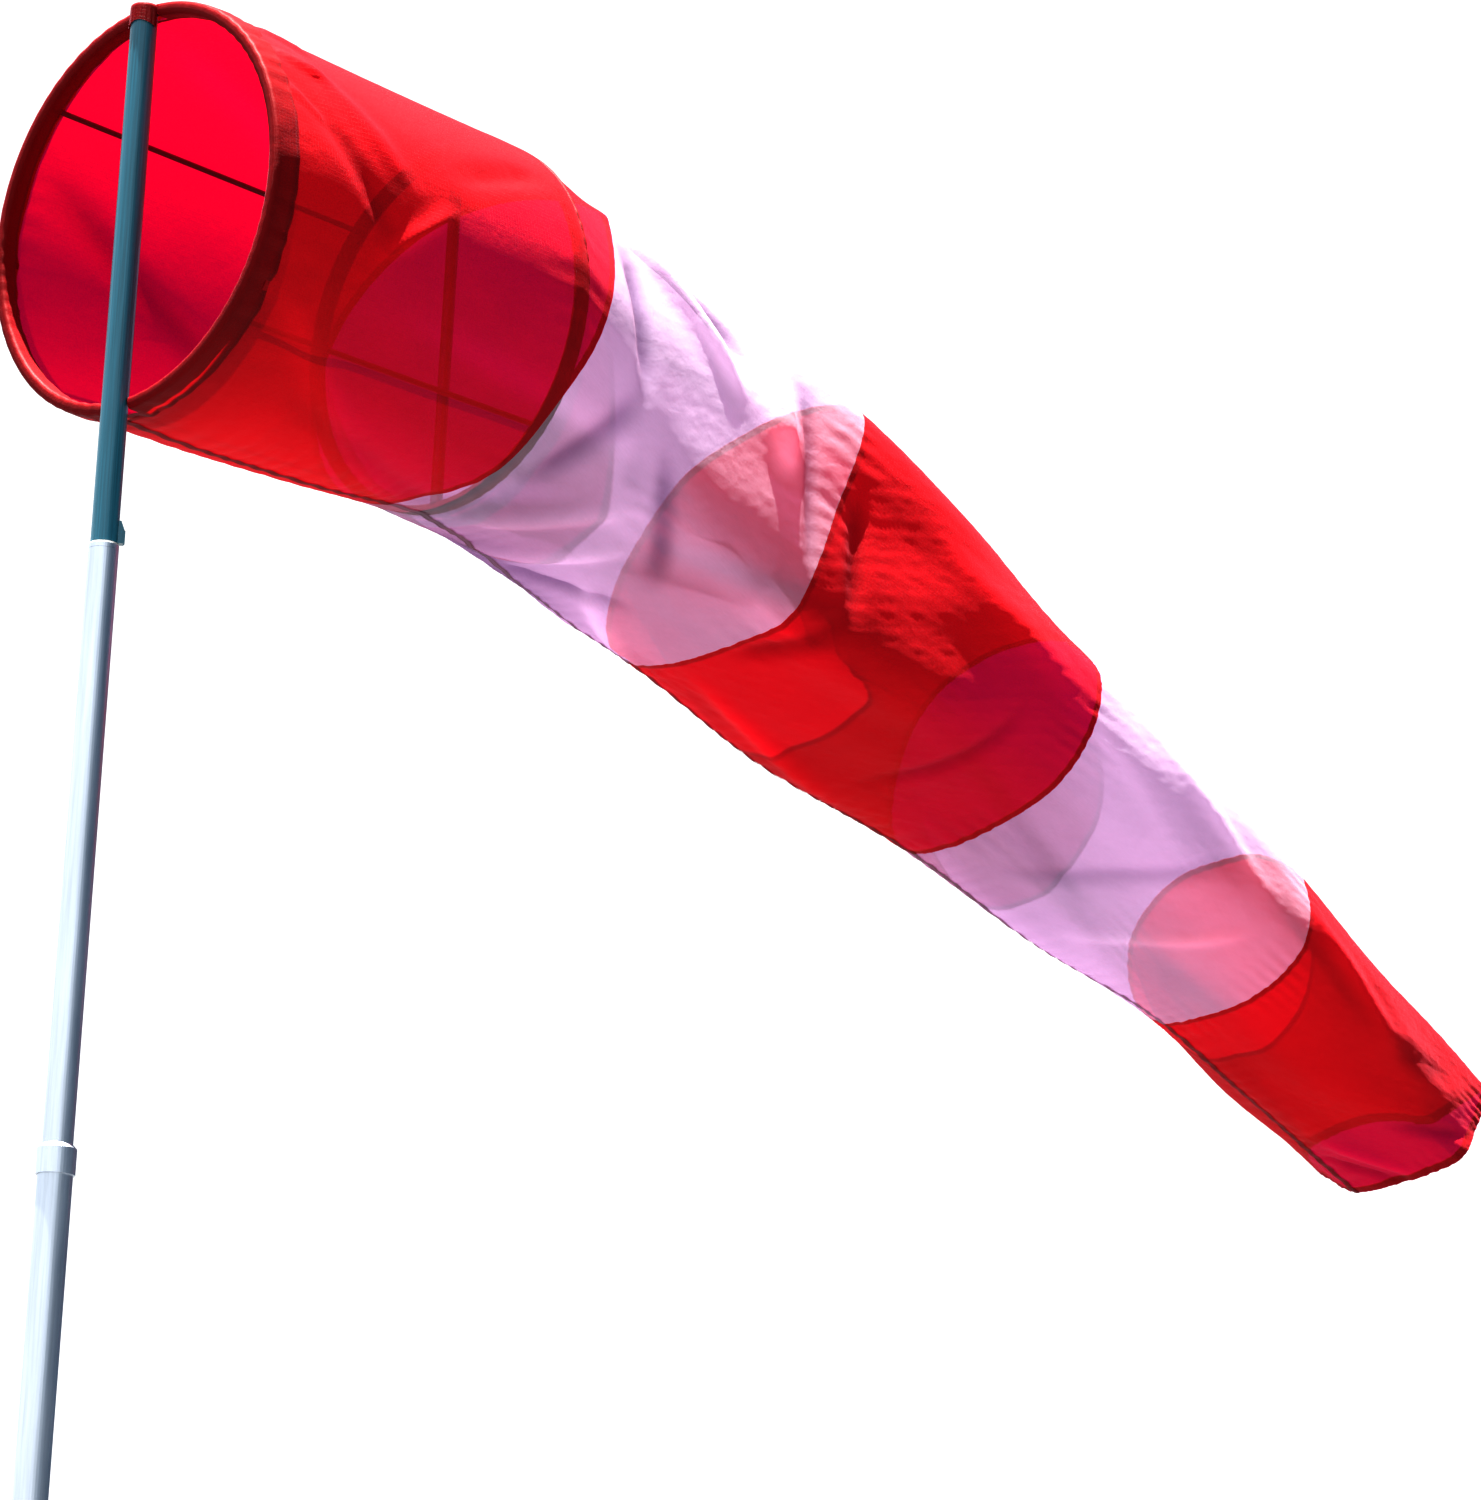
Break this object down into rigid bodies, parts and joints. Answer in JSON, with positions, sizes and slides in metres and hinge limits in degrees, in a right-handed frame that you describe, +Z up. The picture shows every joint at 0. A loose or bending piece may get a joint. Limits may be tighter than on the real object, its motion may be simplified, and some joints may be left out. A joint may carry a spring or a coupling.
{
  "type": "windsock with pole",
  "caption": "Tapered sock of red and white fabric bands held open by a wire cage that turns on a spindle at the top of a tubular mast.",
  "frame": {"origin": "centre of the mast's foot, on the underside that stands on the ground or base", "axes": "+Z up the mast, +X downwind along the sock, +Y to the left of someone looking downwind"},
  "size_m": [3.0355, 0.6, 4.65],
  "materials": {
    "aluminium": "satin",
    "steel": "satin",
    "black_plastic": "matte",
    "white_nylon": "matte",
    "teal_paint": "gloss",
    "red_cloth": "matte",
    "white_cloth": "matte"
  },
  "bodies": {
    "mast": {"mast_foot_plug": "black_plastic", "mast_lower_tube": "aluminium", "mast_upper_tube": "aluminium", "mast_head_plug": "aluminium", "spindle": "steel"},
    "vane": {"thrust_washer": "white_nylon", "lower_bush": "white_nylon", "upper_bush": "white_nylon", "swivel_tube": "teal_paint", "retainer_lug": "teal_paint", "retainer_screw": "steel", "hoop_screw_top": "steel", "hoop_screw_bottom": "steel", "front_hoop": "steel", "rear_hoop": "steel", "far_side_rod": "steel", "near_side_rod": "steel", "rear_hoop_strut": "steel", "mouth_hem": "red_cloth", "band_1_red": "red_cloth"},
    "sock_band_2": {"band_2_white": "white_cloth"},
    "sock_band_3": {"band_3_red": "red_cloth"},
    "sock_band_4": {"band_4_white": "white_cloth"},
    "sock_band_5": {"band_5_red": "red_cloth", "tail_hem": "red_cloth"}
  },
  "joints": [
    {"name": "swivel", "type": "hinge", "parent": "mast", "child": "vane", "pos_m": [0, 0, 3.8599], "axis": [0, 0, 1], "continuous": true},
    {"name": "droop_2", "type": "hinge", "parent": "vane", "child": "sock_band_2", "pos_m": [0.612, 0, 4.56], "axis": [0, 1, 0], "range_deg": [-15.5, 44], "stiffness_Nm_per_rad": 80, "springref_deg": -15.47, "deforming": ["band_2_white"]},
    {"name": "droop_3", "type": "hinge", "parent": "sock_band_2", "child": "sock_band_3", "pos_m": [1.31409, 0, 4.36552], "axis": [0, 1, 0], "range_deg": [-3.15, 8.85], "deforming": ["band_3_red"]},
    {"name": "droop_4", "type": "hinge", "parent": "sock_band_3", "child": "sock_band_4", "pos_m": [1.86194, 0, 4.12551], "axis": [0, 1, 0], "range_deg": [-0.83, 2.25], "deforming": ["band_4_white"]},
    {"name": "droop_5", "type": "hinge", "parent": "sock_band_4", "child": "sock_band_5", "pos_m": [2.41748, 0, 3.89795], "axis": [0, 1, 0], "range_deg": [-3.61, 10.17], "deforming": ["band_5_red", "tail_hem"]}
  ],
  "couplings": [
    {"joint": "droop_3", "follows": "droop_2", "ratio": 0.2},
    {"joint": "droop_4", "follows": "droop_2", "ratio": 0.05},
    {"joint": "droop_5", "follows": "droop_2", "ratio": 0.23}
  ]
}
